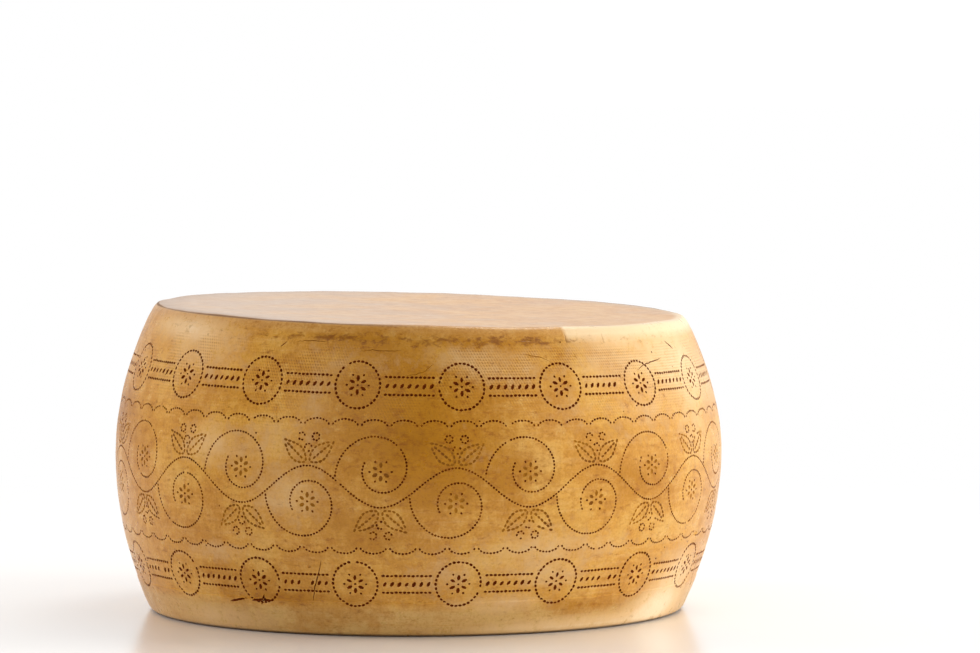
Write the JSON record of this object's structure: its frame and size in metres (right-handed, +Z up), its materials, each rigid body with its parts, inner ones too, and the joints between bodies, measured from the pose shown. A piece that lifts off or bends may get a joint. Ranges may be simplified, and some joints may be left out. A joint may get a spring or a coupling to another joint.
{
  "type": "grana cheese",
  "caption": "Whole wheel of hard grana cheese: a drum with bulging amber sides, a gently slanted upper face, a flat lower face and a dotted ornament pricked into its rind.",
  "frame": {"origin": "middle of the wheel's lower face, on the surface it rests on", "axes": "+Z up along the wheel's axis, -Y towards the front seen in the picture, +X to the right, where the upper face is lowest"},
  "size_m": [0.441, 0.4388, 0.2231],
  "materials": {
    "rind": "satin"
  },
  "bodies": {
    "root": {"cheese_wheel": "rind"}
  },
  "joints": []
}
